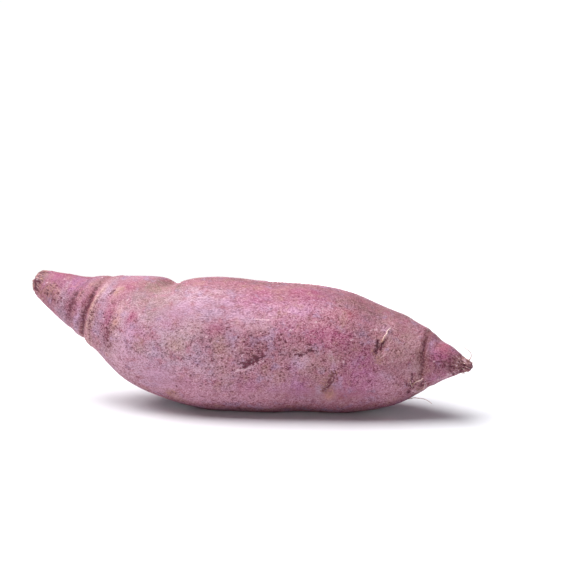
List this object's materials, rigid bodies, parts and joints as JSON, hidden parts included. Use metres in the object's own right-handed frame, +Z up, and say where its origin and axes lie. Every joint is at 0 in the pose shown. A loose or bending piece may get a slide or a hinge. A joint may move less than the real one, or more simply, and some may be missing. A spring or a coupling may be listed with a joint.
{
  "type": "purple sweet potato",
  "caption": "Whole raw purple sweet potato, a plump spindle that tapers to a blunt stem end and a thin woody tail, lying on its belly.",
  "frame": {"origin": "on the surface that the root lies on, under the middle of its bounding box", "axes": "+X along the root from the stem end to the tail, +Z up, -Y towards the side that the picture shows"},
  "size_m": [0.1772, 0.0594, 0.0528],
  "materials": {
    "skin": "matt corky root skin, mottled magenta, pink, lilac and tan"
  },
  "bodies": {
    "root": {"sweet_potato": "skin"}
  },
  "joints": []
}
